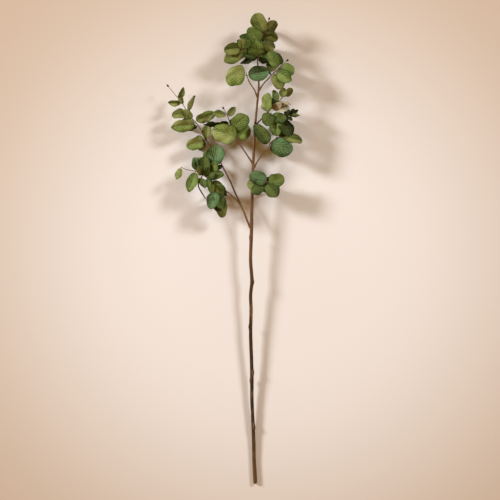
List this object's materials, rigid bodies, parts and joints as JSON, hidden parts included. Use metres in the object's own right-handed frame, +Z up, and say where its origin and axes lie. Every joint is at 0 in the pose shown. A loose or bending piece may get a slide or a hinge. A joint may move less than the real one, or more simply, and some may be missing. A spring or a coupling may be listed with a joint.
{
  "type": "eucalyptus branch",
  "caption": "Tall slender eucalyptus branch with round leaves on short side twigs and a long bare woody stem, laid down flat.",
  "frame": {"origin": "middle of the small flat under the cut end of the stem, on the surface the branch lies on", "axes": "+Y along the branch from the cut end to the leafy top, +Z up from the surface, +X to the right seen from above"},
  "size_m": [0.3177, 1.1001, 0.0715],
  "materials": {
    "bark": "dry brown bark, dull",
    "leaf": "waxy green leaf, satin"
  },
  "bodies": {
    "root": {"woody_stem": "bark", "leafy_spray_top": "leaf", "leafy_spray_upper_left": "leaf", "leafy_spray_upper_right": "leaf", "leafy_spray_right": "leaf", "leafy_spray_lower_right": "leaf", "leafy_spray_centre_left": "leaf", "leafy_spray_left": "leaf", "leafy_spray_lower_left": "leaf", "leafy_spray_small_right": "leaf"}
  },
  "joints": []
}
